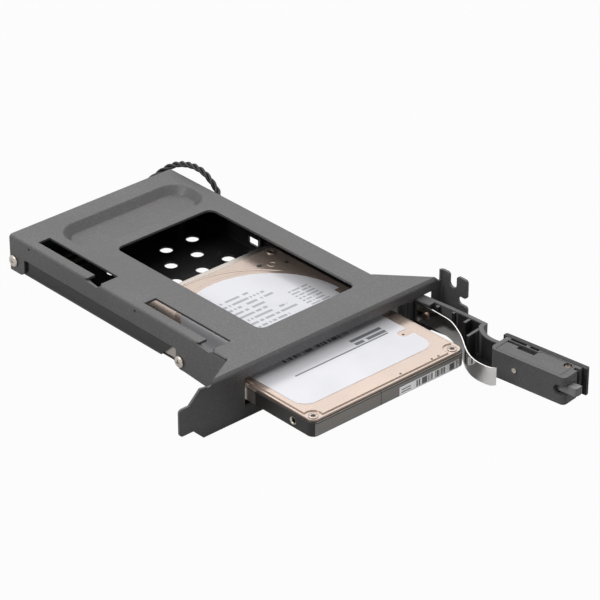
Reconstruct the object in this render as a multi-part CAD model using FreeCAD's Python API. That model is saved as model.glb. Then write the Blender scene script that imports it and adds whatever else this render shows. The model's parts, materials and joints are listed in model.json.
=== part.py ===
import FreeCAD, Part
import math
import os

os.makedirs("parts", exist_ok=True)

V = FreeCAD.Vector
UP = V(0, 0, 1)

# The frame: X runs along the bracket to the screw tab, Y runs into the computer, Z is up.
# X = 0 is the middle of the bay, Y = 0 the bracket's rear face, Z = 0 its lower edge.

# Cover and bracket, one folded sheet
SHEET = 0.9
TOP = 19.8
BODY_HALF = 37.7
BODY_REAR = 123.3
FOLD = 1.3
FACE_FOLD = 1.6
FLARE_LEFT_X = -51.0
FLARE_LEFT_Y = 6.2
FLARE_RIGHT_X = 52.7
FLARE_RIGHT_Y = 15.5
OPENING = (-36.3, 50.2, 4.3, 15.45)
TONGUE_TIP = -64.5
TAB_OUTER = 55.5
TAB_REACH = -13.1
WINDOW = (-16.45, 27.6, 13.7, 90.0)
WINDOW_R = 3.0
PAN = (-24.4, 33.0, 95.4, 115.0)
PAN_R = 8.4
PAN_DEPTH = 3.0
PAN_SLOPE = 2.8
PAN_ROLL = 1.0
SLOT_X = (-33.8, -28.6)
SLOT_Y = ((14.7, 53.6), (73.7, 111.6))
FLANGE_EDGE = 12.6
EAR_FRONT = 32.6
EAR_REAR = 115.3
EAR_SCREWS = ((30.5, 8.5), (121.0, 10.1))
HOOK_GAP = 6.3
SEAM_FRONT = 6.8
LEAD_HOLE = (97.7, 16.35)
SCREW_SHANK = 1.2
SCREW_HEAD = 2.15
SCREW_SIDES = 16

# Tray
TRAY_HALF = 36.7
TRAY_SHEET = 0.8
TRAY_FOLD = 2.0
TRAY_FLOOR = 4.8
TRAY_RIM = 14.6
TRAY_REAR = 123.0
TRAY_STEP_Y = 12.6
TRAY_STEP_Z = 3.3
STRIKE = (4.7, 9.2, 7.9, 11.9)
VENT_R = 2.5
VENT_SIDES = 14
VENT_PITCH = 12.3
VENT_ROW = 9.9
VENT_X = 0.3
VENT_Y = 18.1
VENT_ROWS = 9
VENT_LEFT_OUT = (8, 2)

# Drive: a standard 7 mm drive of 2.5 inch size, drawn out of the bay
DRIVE_X = (-35.5, 34.35)
DRIVE_FRONT = -33.0
DRIVE_LONG = 100.2
DRIVE_Z = (6.0, 13.0)
DRIVE_R = 3.0
DRIVE_TRAVEL = 48.0
DRIVE_REAR = DRIVE_FRONT + DRIVE_LONG
LID_Z = 11.7
LID_REAR = DRIVE_REAR - 3.4
LID_RING = 3.2
PLATEAU_Z = 12.6
PLATTER = V(-0.6, 25.5, 0)
POCKET_X = (-26.6, 17.6)
POCKET_DEEP = 6.4
POCKET_ROOF = 11.3

# Rear board, just clear of the seated drive
LUG_Y = DRIVE_REAR + DRIVE_TRAVEL + 0.7
LUG_THICK = 0.8
BOARD_Y = LUG_Y + LUG_THICK
BOARD_THICK = 1.6
BOARD_BACK = BOARD_Y + BOARD_THICK
BOARD_SCREWS = (-31.5, 31.5)
SOCKET_FRONT = DRIVE_REAR + DRIVE_TRAVEL - 4.8

# Lever door, drawn in its own frame: s from the hinge to the tip, w outward, then turned open
HINGE = V(40.6, 2.3, 0)
OPEN_ANGLE = 97.0
DOOR_Z = (4.7, 15.05)
DOOR_WALL = 1.5
PIN_R = 1.25
BARREL_R = 3.0
RIBS = ((11.6, 2.3), (18.4, 2.6), (25.2, 0.1), (31.6, -6.3))
RIB_THICK = 1.1
BOX_S = (42.3, 73.6)
BOX_W = (-8.2, 1.4)
BOX_WALL = 1.4
LID_THICK = 1.15
LID_SCREW = V(69.0, -0.4, DOOR_Z[1] - 0.95)
PLATE_S = (40.6, 75.3)
PLATE_W = (1.8, 3.6)
BOLT_TIP = 77.0
BOLT_W = (-6.3, -3.0)
BOLT_Z = (8.4, 11.4)
WEB_S = (60.2, 64.8)
LATCH_TRAVEL = 2.5
PEG_S = 53.0
PEG_Z = 10.4
RIVET_S = 8.0
RIVET_Z = 10.4
LEAF_THICK = 0.35
LEAF_Z = (7.0, 13.9)
LEAF_STEPS = 26
LEAF_PATH = ((9.4, 0.82), (13.4, 0.3), (20.4, -1.2), (25.6, -4.2), (28.5, -6.2), (38.4, -14.4),
             (42.9, -16.4), (47.0, -16.9), (49.6, -16.6), (50.8, -15.3))

# Lead from the board, round the rear corner and in at the side flange
LEAD_R = 1.2
LEAD_SIDES = 8
LEAD_ROUTE = ((25.0, 121.2, 14.8), (25.0, 124.3, 14.8), (27.0, 127.5, 14.3), (30.5, 129.4, 14.1),
              (34.6, 129.2, 15.4), (38.0, 127.2, 18.2), (39.9, 123.6, 20.6), (40.3, 118.6, 22.4),
              (40.5, 113.4, 23.3), (40.6, 108.4, 22.7), (40.6, 104.2, 20.4), (40.5, 101.3, 18.1),
              (39.5, 99.2, 16.9), (37.3, 97.5, 16.3), (34.5, 97.0, 16.2))


def block(x0, x1, y0, y1, z0, z1):
    return Part.makeBox(x1 - x0, y1 - y0, z1 - z0, V(x0, y0, z0))


def prism(points, along):
    face = Part.Face(Part.makePolygon(list(points) + [points[0]]))
    return face.extrude(along)


def plan(points, z0, z1):
    return prism([V(x, y, z0) for x, y in points], V(0, 0, z1 - z0))


def front_plate(points, y0, y1):
    return prism([V(x, y0, z) for x, z in points], V(0, y1 - y0, 0))


def side_plate(points, x0, x1):
    return prism([V(x0, y, z) for y, z in points], V(x1 - x0, 0, 0))


def rod(start, end, radius):
    return Part.makeCylinder(radius, (end - start).Length, start, end - start)


def join(shapes):
    return shapes[0].fuse(shapes[1:]).removeSplitter()


def cut(shape, tools):
    return shape.cut(list(tools)).removeSplitter()


def round_at(shape, radius, spots, axis):
    """Round the edges along one axis that pass through the given spots of the other two axes."""
    others = [i for i in range(3) if i != axis]
    edges = []
    for edge in shape.Edges:
        ends = [v.Point for v in edge.Vertexes]
        if len(ends) != 2 or abs(ends[0][axis] - ends[1][axis]) < 0.01:
            continue
        for spot in spots:
            near = [abs(p[others[k]] - spot[k]) < 0.02 for p in ends for k in range(2)]
            if all(near):
                edges.append(edge)
    return shape.makeFillet(radius, edges)


def rounded_outline(x0, x1, y0, y1, r, z):
    k = r * (1 - math.sqrt(0.5))
    corners = ((x1 - r, y0, x1 - k, y0 + k, x1, y0 + r), (x1, y1 - r, x1 - k, y1 - k, x1 - r, y1),
               (x0 + r, y1, x0 + k, y1 - k, x0, y1 - r), (x0, y0 + r, x0 + k, y0 + k, x0 + r, y0))
    edges = []
    for i, (ax, ay, mx, my, bx, by) in enumerate(corners):
        edges.append(Part.Arc(V(ax, ay, z), V(mx, my, z), V(bx, by, z)).toShape())
        after = corners[(i + 1) % 4]
        edges.append(Part.makeLine(V(bx, by, z), V(after[0], after[1], z)))
    return Part.Wire(edges)


def rounded_slab(x0, x1, y0, y1, r, z0, z1):
    return Part.Face(rounded_outline(x0, x1, y0, y1, r, z0)).extrude(V(0, 0, z1 - z0))


def channel(half, sheet, fold, y0, y1, web, rim):
    """Folded channel along Y: a flat web at one height and two flanges that reach the rim."""
    low = min(web, rim)
    high = max(web, rim)
    inside = web + math.copysign(sheet, rim - web)
    beyond = rim + math.copysign(5, rim - web)
    outer = block(-half, half, y0, y1, low, high)
    outer = round_at(outer, fold, ((-half, web), (half, web)), 1)
    clear = half - sheet
    hollow = block(-clear, clear, y0 - 1, y1 + 1, min(inside, beyond), max(inside, beyond))
    hollow = round_at(hollow, fold - sheet, ((-clear, inside), (clear, inside)), 1)
    return outer.cut(hollow)


def save(name, shape):
    shape.exportStep("parts/" + name + ".step")


def drawn_pan(shift):
    """Tapered rounded block whose sides lie the given distance outside the pan's top surface."""
    x0, x1, y0, y1 = PAN
    high = rounded_outline(x0 - shift, x1 + shift, y0 - shift, y1 + shift, PAN_R + shift, TOP)
    inset = PAN_SLOPE - shift
    deep = TOP - PAN_DEPTH - shift
    low = rounded_outline(x0 + inset, x1 - inset, y0 + inset, y1 - inset, PAN_R - inset, deep)
    return Part.makeLoft([high, low], True, True)


def make_flanged_top():
    """Top of the cover with both side flanges cut to their ears."""
    body = channel(BODY_HALF, SHEET, FOLD, FLARE_LEFT_Y, BODY_REAR, TOP, 0.0)
    keep = side_plate(((5, 3.6), (28, 5.3), (EAR_FRONT, 5.3), (EAR_FRONT, FLANGE_EDGE), (EAR_REAR, FLANGE_EDGE),
                       (EAR_REAR, 5.8), (130, 5.8), (130, 25), (5, 25)), -45, 45)
    keep = round_at(keep, 2.6, ((EAR_FRONT, 5.3), (EAR_REAR, 5.8)), 0)
    keep = round_at(keep, 1.0, ((EAR_FRONT, FLANGE_EDGE), (EAR_REAR, FLANGE_EDGE)), 0)
    body = body.common(keep)
    flare = plan(((FLARE_LEFT_X + 1.7, 0), (-BODY_HALF, FLARE_LEFT_Y), (-BODY_HALF + FOLD, FLARE_LEFT_Y + 2),
                  (BODY_HALF - FOLD, FLARE_RIGHT_Y + 1), (BODY_HALF, FLARE_RIGHT_Y), (FLARE_RIGHT_X - 0.8, 0)),
                 TOP - SHEET, TOP)
    no_flange = block(30, 45, 0, FLARE_RIGHT_Y + 0.8, -1, TOP - SHEET)
    return join([body.cut(no_flange), flare])


def make_face():
    """Bracket face with its tongue, the fold to the top and the fold to the tab."""
    edge = TOP - FACE_FOLD
    face = front_plate(((-54.45, 0), (54.0, 0), (54.0, edge), (-52.3, edge), (-52.6, 18.6), (-55.4, 19.0),
                        (-60.3, 14.4), (TONGUE_TIP, 14.4), (TONGUE_TIP, 4.2), (-58.75, 4.2)), -SHEET, 0)
    face = round_at(face, 1.3, ((TONGUE_TIP, 14.4), (TONGUE_TIP, 4.2)), 1)
    x0, x1, z0, z1 = OPENING
    face = face.cut(block(x0, x1, -2, 1, z0, z1))
    bend = block(FLARE_LEFT_X, FLARE_RIGHT_X, -SHEET, 3, edge - 1, TOP)
    bend = round_at(bend, FACE_FOLD, ((-SHEET, TOP),), 0)
    hollow = block(-70, 70, 0, 4, 0, TOP - SHEET)
    hollow = round_at(hollow, FACE_FOLD - SHEET, ((0, TOP - SHEET),), 0)
    trim = plan(((FLARE_LEFT_X, -2), (FLARE_LEFT_X, -SHEET), (-BODY_HALF, FLARE_LEFT_Y), (BODY_HALF, FLARE_RIGHT_Y),
                 (FLARE_RIGHT_X, -SHEET), (FLARE_RIGHT_X, -2)), 0, 30)
    return join([face, bend.cut(hollow).common(trim)])


def make_tab():
    """Screw tab bent outward at the bracket's end, with its screw notch and side notch."""
    inner = TAB_OUTER - SHEET
    bend = block(53.0, TAB_OUTER, TAB_REACH, 0, 0, 22.4)
    bend = round_at(bend, 1.5, ((TAB_OUTER, 0),), 2)
    hollow = block(50, inner, TAB_REACH - 1, -SHEET, -1, 30)
    hollow = round_at(hollow, 0.6, ((inner, -SHEET),), 2)
    outline = side_plate(((1, 0), (1, 22.2), (-4.3, 22.2), (-4.3, 18.9), (-7.9, 18.9), (-7.9, 22.4), (-12.9, 22.4),
                          (-12.9, 15.1), (-10.2, 15.1), (-10.2, 12.1), (TAB_REACH, 12.1), (TAB_REACH, 3.0),
                          (-3.0, 3.0), (-1.5, 0)), 50, 60)
    outline = round_at(outline, 1.2, ((-4.3, 22.2), (-7.9, 22.4), (-12.9, 22.4), (-12.9, 15.1), (TAB_REACH, 12.1),
                                      (TAB_REACH, 3.0)), 0)
    notch = rod(V(50, -6.1, 18.9), V(60, -6.1, 18.9), 1.8)
    side_notch = rod(V(50, -10.2, 13.6), V(60, -10.2, 13.6), 1.5)
    ear = block(50, 54.0, -2, 1, TOP - FACE_FOLD, 30)
    return bend.cut(hollow).common(outline).cut([notch, side_notch, ear])


def make_cover():
    """Cover and bracket as one folded piece, then its window, pan, slots and holes."""
    sheet = join([make_flanged_top(), make_face(), make_tab()])
    tools = [rounded_slab(*WINDOW, WINDOW_R, TOP - 3, TOP + 3)]
    for y0, y1 in SLOT_Y:
        tools.append(block(SLOT_X[0], SLOT_X[1], y0, y1, TOP - 3, TOP + 3))
        tools.append(block(-36.5, SLOT_X[0] + 1, y0, y0 + HOOK_GAP, TOP - 2, TOP + 3))
        tools.append(side_plate(((y0 - 1.6, TOP + 1), (y0 - 1.0, TOP - 0.1), (y0 + 0.9, TOP - 1.4),
                                 (y0 + HOOK_GAP + 1, TOP - 0.75), (y0 + HOOK_GAP + 1, TOP - 0.4),
                                 (y0 + HOOK_GAP, TOP - 0.3), (y0 + HOOK_GAP, TOP + 1)), -40, -36.4))
        tools.append(rod(V(-40, y1 + 0.4, TOP - 1.8), V(-36, y1 + 0.4, TOP - 1.8), 0.5))
    for y, z in EAR_SCREWS:
        tools.append(rod(V(-45, y, z), V(45, y, z), SCREW_SHANK + 0.15))
    seam_z = TOP - 0.7
    tools.append(block(-40, -36.9, SEAM_FRONT, SLOT_Y[0][0], seam_z - 0.15, seam_z + 0.15))
    tools.append(rod(V(-40, SEAM_FRONT, seam_z), V(-36.9, SEAM_FRONT, seam_z), 0.5))
    tools.append(rod(V(35, *LEAD_HOLE), V(40, *LEAD_HOLE), LEAD_R + 0.6))
    sheet = cut(sheet, tools)
    pan = drawn_pan(SHEET).cut(block(-60, 60, 80, 130, TOP - 0.05, TOP + 5))
    return roll_pan_rim(join([sheet, pan]).cut(drawn_pan(0.0)))


def roll_pan_rim(sheet):
    """Round the edge where the top runs into the pan."""
    x0, x1, y0, y1 = PAN
    rim = []
    for edge in sheet.Edges:
        box = edge.BoundBox
        inside = box.XMin > x0 - 0.1 and box.XMax < x1 + 0.1 and box.YMin > y0 - 0.1 and box.YMax < y1 + 0.1
        if inside and box.ZMin > TOP - 0.01:
            rim.append(edge)
    return sheet.makeFillet(PAN_ROLL, rim)


def polygon_points(radius, sides):
    """Corners of a polygon about the middle, with enough sides to read as round."""
    angles = [2 * math.pi * i / sides for i in range(sides)]
    return [(radius * math.cos(a), radius * math.sin(a)) for a in angles]


def vent(x, y):
    return plan([(x + px, y + py) for px, py in polygon_points(VENT_R, VENT_SIDES)], 2, 7)


def make_tray():
    """Vented tray with its front lip, the lugs for the board and the cut-outs of its sides."""
    tray = channel(TRAY_HALF, TRAY_SHEET, TRAY_FOLD, TRAY_STEP_Y, TRAY_REAR, TRAY_FLOOR, TRAY_RIM)
    step = TRAY_STEP_Z + TRAY_SHEET
    lip = block(-34, 33, 0.05, 0.05 + TRAY_SHEET, 0.8, step)
    low_floor = block(-TRAY_HALF, 33.8, 0.05, TRAY_STEP_Y + TRAY_SHEET, TRAY_STEP_Z, step)
    riser = block(-TRAY_HALF, 33.8, TRAY_STEP_Y, TRAY_STEP_Y + TRAY_SHEET, TRAY_STEP_Z, TRAY_FLOOR + TRAY_SHEET)
    cheek = block(-TRAY_HALF, -TRAY_HALF + TRAY_SHEET, 2.0, TRAY_STEP_Y + 1, TRAY_STEP_Z, TRAY_RIM)
    pieces = [tray, lip, low_floor, riser, cheek]
    for x in BOARD_SCREWS:
        pieces.append(block(x - 3, x + 3, LUG_Y, LUG_Y + LUG_THICK, TRAY_FLOOR, 15.0))
    inner = TRAY_HALF - TRAY_SHEET
    pieces.append(plan(((inner + 0.3, 74.0), (inner + 0.3, 73.2), (34.75, 70.8), (34.75, 71.8)), 7.3, 12.2))
    tray = join(pieces)
    tools = [block(34, 40, -1, 17.0, 0, 20)]
    tools.append(block(-40, -33, *STRIKE))
    tools.append(side_plate(((33.0, 3.0), (45.0, 3.0), (34.2, 13.0), (33.0, 13.0)), -40, -34.6))
    tools.append(block(34, 40, 73.9, 79.0, 7.2, 10.1))
    for row in range(VENT_ROWS):
        y = VENT_Y + row * VENT_ROW
        count = 5 - row % 2
        for i in range(count):
            x = VENT_X + (i - (count - 1) / 2) * VENT_PITCH
            if (row, i) != VENT_LEFT_OUT:
                tools.append(vent(x, y))
    for y, z in EAR_SCREWS:
        tools.append(rod(V(-45, y, z), V(45, y, z), SCREW_SHANK + 0.05))
    for x in BOARD_SCREWS:
        tools.append(rod(V(x, 110, 12), V(x, 120, 12), 0.95))
    return cut(tray, tools)


def screw_bar(start, along, radius):
    """Short round bar with few sides, square to the axis that it runs along."""
    side = V(along.y, along.z, along.x).normalize()
    rise = along.cross(side).normalize()
    ring = [start + side * a + rise * b for a, b in polygon_points(radius, SCREW_SIDES)]
    return prism(ring, along)


def make_screw(seat, outward, head, shank, length):
    """Plain pan-head screw, its head on the seat and its shank behind it."""
    crown = screw_bar(seat, outward * (head * 0.58), head)
    stem = screw_bar(seat, outward * -length, shank)
    return crown.fuse(stem)


def make_cover_screws():
    screws = []
    for y, z in EAR_SCREWS:
        for side in (-1, 1):
            seat = V(side * BODY_HALF, y, z)
            screws.append(make_screw(seat, V(side, 0, 0), SCREW_HEAD, SCREW_SHANK, 1.85))
    return Part.makeCompound(screws)


def make_board():
    board = block(-34.5, 34.5, BOARD_Y, BOARD_BACK, TRAY_FLOOR + TRAY_SHEET, 18.2)
    return board.cut([rod(V(x, 110, 12), V(x, 125, 12), 1.0) for x in BOARD_SCREWS])


def make_board_screws():
    out = V(0, 1, 0)
    return Part.makeCompound([make_screw(V(x, BOARD_BACK, 12), out, 1.7, 0.9, 2.6) for x in BOARD_SCREWS])


def make_receptacle():
    body = block(-26.0, 17.0, SOCKET_FRONT, BOARD_Y, 6.3, 10.9)
    slot = block(-24.5, 15.5, SOCKET_FRONT - 1, SOCKET_FRONT + 5.2, 7.8, 9.8)
    return body.cut(slot)


def make_port(x0, x1):
    """Rear plug: an open shell with a key and a contact tongue inside."""
    back = BOARD_BACK
    shell = block(x0, x1, back, back + 8.2, 6.4, 12.4)
    hollow = block(x0 + 1, x1 - 1, back + 1.5, back + 9, 7.4, 11.4)
    tongue = block(x0 + 2.2, x1 - 2.2, back, back + 7.2, 8.7, 9.9)
    key = block(x0 + 2.2, x0 + 3.4, back, back + 7.2, 8.7, 11.0)
    return join([shell.cut(hollow), tongue, key])


def make_header():
    body = block(21.5, 28.5, BOARD_BACK, BOARD_BACK + 2.9, 12.4, 17.2)
    return body


def lead_path(points):
    """Straight runs joined by tangent arcs, each as large as its two runs allow."""
    edges = []
    start = points[0]
    for i in range(1, len(points) - 1):
        corner = points[i]
        back = points[i - 1] - corner
        ahead = points[i + 1] - corner
        reach = 0.45 * min(back.Length, ahead.Length)
        half_turn = (math.pi - back.getAngle(ahead)) / 2
        radius = reach / math.tan(half_turn)
        print("lead radius", i, round(radius, 1))
        back.normalize()
        ahead.normalize()
        inward = (back + ahead).normalize()
        crest = corner + inward * (radius / math.cos(half_turn) - radius)
        edges.append(Part.makeLine(start, corner + back * reach))
        start = corner + ahead * reach
        edges.append(Part.Arc(corner + back * reach, crest, start).toShape())
    edges.append(Part.makeLine(start, points[-1]))
    return Part.Wire(edges)


def make_lead():
    points = [V(*p) for p in LEAD_ROUTE]
    path = lead_path(points)
    heading = (points[1] - points[0]).normalize()
    side = heading.cross(UP).normalize()
    rise = side.cross(heading)
    ring = [points[0] + side * a + rise * b for a, b in polygon_points(LEAD_R, LEAD_SIDES)]
    section = Part.Face(Part.makePolygon(ring + [ring[0]]))
    lead = path.makePipe(section)
    print("lead volume", round(lead.Volume, 1), "section by length", round(section.Area * path.Length, 1))
    return lead


def make_hinge_bracket():
    """Folded hanger: two ears for the pin, a back plate and a flange under the cover."""
    x0 = HINGE.x - 3.4
    x1 = HINGE.x + 3.6
    back = block(x0, x1, 7.6, 8.5, 3.1, TOP - SHEET)
    high = block(x0, x1, HINGE.y - 2.1, 8.5, 15.5, 16.4)
    low = block(x0, x1, HINGE.y - 2.1, 8.5, 3.1, 4.0)
    flange = block(x0, HINGE.x + 1.0, 7.6, 13.4, TOP - 2 * SHEET, TOP - SHEET)
    bracket = join([back, high, low, flange])
    bracket = round_at(bracket, 1.3, ((8.5, 3.1),), 0)
    return bracket.cut(rod(HINGE, HINGE + UP * 18, PIN_R + 0.02))


def make_hinge_pin():
    stem = rod(HINGE + UP * 3.1, HINGE + UP * 16.4, PIN_R)
    foot = rod(HINGE + UP * 2.3, HINGE + UP * 3.1, 2.0)
    crown = rod(HINGE + UP * 16.4, HINGE + UP * 17.0, 1.8)
    return join([stem, foot, crown])


def opened(shape):
    """Turn a door piece from its own frame to the open rest position."""
    shape.rotate(V(0, 0, 0), UP, OPEN_ANGLE - 180)
    shape.translate(HINGE)
    return shape


def door_skin():
    """Outer wall of the lever and the finger scoop, as one curved band seen in plan."""
    z = DOOR_Z[0]
    t = DOOR_WALL
    out_start = V(-1.2, 5.3, z)
    out_end = V(32.0, 4.2, z)
    scoop_start = V(32.3, 1.6, z)
    scoop_end = V(BOX_S[0] + 0.5, -2.4, z)
    edges = [Part.Arc(out_start, V(15.5, 5.2, z), out_end).toShape(),
             Part.makeLine(out_end, scoop_start),
             Part.Arc(scoop_start, V(35.6, -1.3, z), scoop_end).toShape(),
             Part.makeLine(scoop_end, scoop_end - V(0, t, 0)),
             Part.Arc(scoop_end - V(0, t, 0), V(34.6, -2.6, z), V(30.7, 1.0, z)).toShape(),
             Part.makeLine(V(30.7, 1.0, z), V(30.5, 2.8, z)),
             Part.Arc(V(30.5, 2.8, z), V(15.0, 5.2 - t, z), out_start - V(0, t, 0)).toShape(),
             Part.makeLine(out_start - V(0, t, 0), out_start)]
    return Part.Face(Part.Wire(edges)).extrude(V(0, 0, DOOR_Z[1] - z))


def make_door_lever():
    """Moulded lever: hinge barrel, ribbed trough, finger scoop and hollow latch box."""
    z0, z1 = DOOR_Z
    s0, s1 = BOX_S
    w0, w1 = BOX_W
    pieces = [door_skin(), rod(V(0, 0, z0), V(0, 0, z1), BARREL_R)]
    pieces.append(plan(((-1.2, 0), (2.8, 1.0), (9.4, 1.0), (9.4, 4.4), (-1.2, 4.4)), z0, z1))
    ends = [(s, w) for s, w in RIBS]
    web = [(9.0, 4.4), (9.0, 2.2)] + ends + [(37.0, w0 + 1.2), (s0 + 1, w0 + 0.5), (s0 + 1, -2.8), (34.9, -1.9), (31.5, 2.0)]
    pieces.append(plan(web, z0, z0 + 1.4))
    for s, w in RIBS:
        outer = 3.6 if s < 30 else 1.2
        pieces.append(block(s - RIB_THICK / 2, s + RIB_THICK / 2, w, outer, z0, z1 - 0.4))
    box = block(s0, s1, w0, w1, z0, z1)
    box = round_at(box, 1.6, ((s1, w0),), 2)
    box = round_at(box, 2.4, ((s0, w0),), 2)
    lever = join(pieces + [box])
    cavity = block(s0 + 2.4, s1 - 3.0, w0 + BOX_WALL, -1.0, z0 + BOX_WALL, z1)
    lid_seat = plan(((44.2, -7.2), (71.0, -7.2), (71.0, 0.9), (57.0, 0.9), (57.0, 0.0), (44.2, 0.0)),
                    z1 - LID_THICK, z1 + 1)
    web_slot = block(WEB_S[0] - LATCH_TRAVEL - 0.7, WEB_S[1] + 0.5, -1.5, w1 + 1, BOLT_Z[0] - 0.5, BOLT_Z[1] + 0.5)
    mouth = block(71.0, s1 + 1, w0 - 1, BOLT_W[1] + 0.5, BOLT_Z[0] - 0.4, BOLT_Z[1] + 0.4)
    middle = (BOLT_Z[0] + BOLT_Z[1]) / 2
    mouth_end = rod(V(71.0, w0 - 1, middle), V(71.0, BOLT_W[1] + 0.5, middle), 1.9)
    groove = block(71.8, s1 + 1, -1.3, 0.1, z0 - 1, z1 + 1)
    bore = rod(V(0, 0, 0), V(0, 0, 20), PIN_R + 0.05)
    rivet_hole = rod(V(RIVET_S, 0, RIVET_Z), V(RIVET_S, 3.2, RIVET_Z), 0.8)
    peg_hole = rod(V(PEG_S, w0 - 1, PEG_Z), V(PEG_S, w0 + BOX_WALL + 0.2, PEG_Z), 0.9)
    clip_a = block(44.4, 50.9, 0.4, w1 + 1, 12.2, z1 + 1)
    clip_b = block(52.5, 56.2, 0.4, w1 + 1, 12.2, z1 + 1)
    screw_hole = rod(LID_SCREW - UP * 5, LID_SCREW + UP * 2, 0.7)
    return cut(lever, [cavity, lid_seat, web_slot, mouth, mouth_end, groove, bore, rivet_hole, peg_hole, clip_a,
                       clip_b, screw_hole])


def make_latch_lid():
    top = DOOR_Z[1] - 0.05
    lid = plan(((44.35, -7.05), (70.85, -7.05), (70.85, 0.75), (57.15, 0.75), (57.15, -0.15), (44.35, -0.15)),
               DOOR_Z[1] - LID_THICK, top)
    sink = rod(LID_SCREW, LID_SCREW + UP * 5, 1.45)
    return lid.cut([rod(LID_SCREW - UP * 5, LID_SCREW + UP * 5, 0.75), sink])


def make_lid_screw():
    return make_screw(LID_SCREW, UP, 1.25, 0.65, 4.0)


def make_spring_peg():
    w0 = BOX_W[0]
    return rod(V(PEG_S, w0 - 0.5, PEG_Z), V(PEG_S, w0 + BOX_WALL, PEG_Z), 0.9)


def make_leaf_spring():
    """Polished leaf: a flat root on its seat, then a long bow round the drive's corner."""
    z0, z1 = LEAF_Z
    points = [V(s, w, z0) for s, w in LEAF_PATH]
    bow = Part.BSplineCurve()
    bow.interpolate(points, InitialTangent=V(1, 0, 0), FinalTangent=V(0.2, 1, 0))
    root = V(3.4, LEAF_PATH[0][1], z0)
    line = [root] + bow.discretize(LEAF_STEPS)
    half = LEAF_THICK / 2
    inner = []
    outer = []
    for i, point in enumerate(line):
        heading = line[min(i + 1, len(line) - 1)] - line[max(i - 1, 0)]
        across = UP.cross(heading).normalize() * half
        inner.append(point - across)
        outer.append(point + across)
    leaf = prism(inner + outer[::-1], UP * (z1 - z0))
    return leaf.cut(rod(V(RIVET_S, -2, RIVET_Z), V(RIVET_S, 3, RIVET_Z), 0.8))


def make_leaf_rivet():
    face = LEAF_PATH[0][1] - LEAF_THICK / 2
    head = rod(V(RIVET_S, face - 0.6, RIVET_Z), V(RIVET_S, face, RIVET_Z), 1.3)
    stem = rod(V(RIVET_S, face, RIVET_Z), V(RIVET_S, 3.1, RIVET_Z), 0.78)
    return join([head, stem])


def make_latch_slider():
    """Thumb plate outside the latch box, joined through the box wall to the bolt."""
    s0, s1 = PLATE_S
    w0, w1 = PLATE_W
    plate = block(s0, s1, w0, w1, DOOR_Z[0] + 0.1, DOOR_Z[1] - 0.1)
    plate = round_at(plate, 0.8, ((s0, w1), (s1, w1)), 2)
    grip = [block(s0 + 3 + 1.6 * i, s0 + 3.8 + 1.6 * i, w1 - 0.4, w1 + 1, 6.6, 13.2) for i in range(6)]
    web = block(*WEB_S, BOLT_W[1] - 1, w0 + 0.5, BOLT_Z[0], BOLT_Z[1])
    bolt = block(58.4, BOLT_TIP, BOLT_W[0], BOLT_W[1], BOLT_Z[0], BOLT_Z[1])
    bolt = round_at(bolt, 1.2, ((BOLT_TIP, BOLT_W[0]),), 2)
    return join([plate.cut(grip), web, bolt])


def make_latch_spring():
    rear = BOX_S[0] + 2.45
    coil_r = 1.2
    wire_r = 0.25
    turns = 6
    steps = 10
    length = 58.4 - rear - 2 * wire_r - 0.1
    centre = V(rear + wire_r, (BOLT_W[0] + BOLT_W[1]) / 2, (BOLT_Z[0] + BOLT_Z[1]) / 2)
    points = []
    for i in range(turns * steps + 1):
        angle = 2 * math.pi * i / steps
        along = length * i / (turns * steps)
        points.append(centre + V(along, coil_r * math.cos(angle), coil_r * math.sin(angle)))
    wire = Part.makePolygon(points)
    heading = points[1] - points[0]
    side = heading.cross(V(1, 0, 0)).normalize() * wire_r
    rise = heading.cross(side).normalize() * wire_r
    ends = (side, rise, side * -1, rise * -1, side)
    section = Part.makePolygon([points[0] + corner for corner in ends])
    return wire.makePipeShell([section], True, False, 1)


def make_drive_base():
    x0, x1 = DRIVE_X
    base = rounded_slab(x0, x1, DRIVE_FRONT, DRIVE_REAR, DRIVE_R, DRIVE_Z[0], LID_Z)
    pocket = block(POCKET_X[0], POCKET_X[1], DRIVE_REAR - POCKET_DEEP, DRIVE_REAR + 1, 5, POCKET_ROOF)
    board_bed = block(-30, 28, DRIVE_FRONT + 4, DRIVE_REAR - 48, 5, DRIVE_Z[0] + 1.2)
    holes = [rod(V(x, DRIVE_FRONT + d, 9.0), V(x * 0.88, DRIVE_FRONT + d, 9.0), 1.5)
             for x in DRIVE_X for d in (9.6, 86.2)]
    lower = [e for e in base.Edges if e.BoundBox.ZMax < DRIVE_Z[0] + 0.01]
    return cut(base.makeChamfer(0.7, lower), [pocket, board_bed] + holes)


def make_drive_cover():
    """Stamped lid with a low plateau that follows the platter at its rear and a ring round each screw."""
    x0, x1 = DRIVE_X
    lid = rounded_slab(x0 + 0.6, x1 - 0.6, DRIVE_FRONT + 0.6, LID_REAR, DRIVE_R - 0.4, LID_Z, PLATEAU_Z)
    front = rounded_slab(x0 + 1.7, x1 - 1.7, DRIVE_FRONT + 1.7, PLATTER.y + 6, 1.5, PLATEAU_Z, DRIVE_Z[1])
    dish = rod(PLATTER + UP * PLATEAU_Z, PLATTER + UP * DRIVE_Z[1], 33.2)
    dish = dish.common(block(x0 + 1.7, x1 - 1.7, PLATTER.y, DRIVE_REAR, 0, 30))
    rings = [rod(V(x, y, PLATEAU_Z), V(x, y, 20), LID_RING) for x, y in drive_screw_spots()]
    return cut(join([lid, front, dish]), rings)


def drive_screw_spots():
    x0, x1 = DRIVE_X
    return [(x, y) for x in (x0 + 2.9, x1 - 3.7) for y in (DRIVE_FRONT + 2.9, LID_REAR - 2.9)]


def make_drive_screws():
    tall = UP * (DRIVE_Z[1] - PLATEAU_Z)
    return Part.makeCompound([screw_bar(V(x, y, PLATEAU_Z), tall, 1.7) for x, y in drive_screw_spots()])


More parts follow.
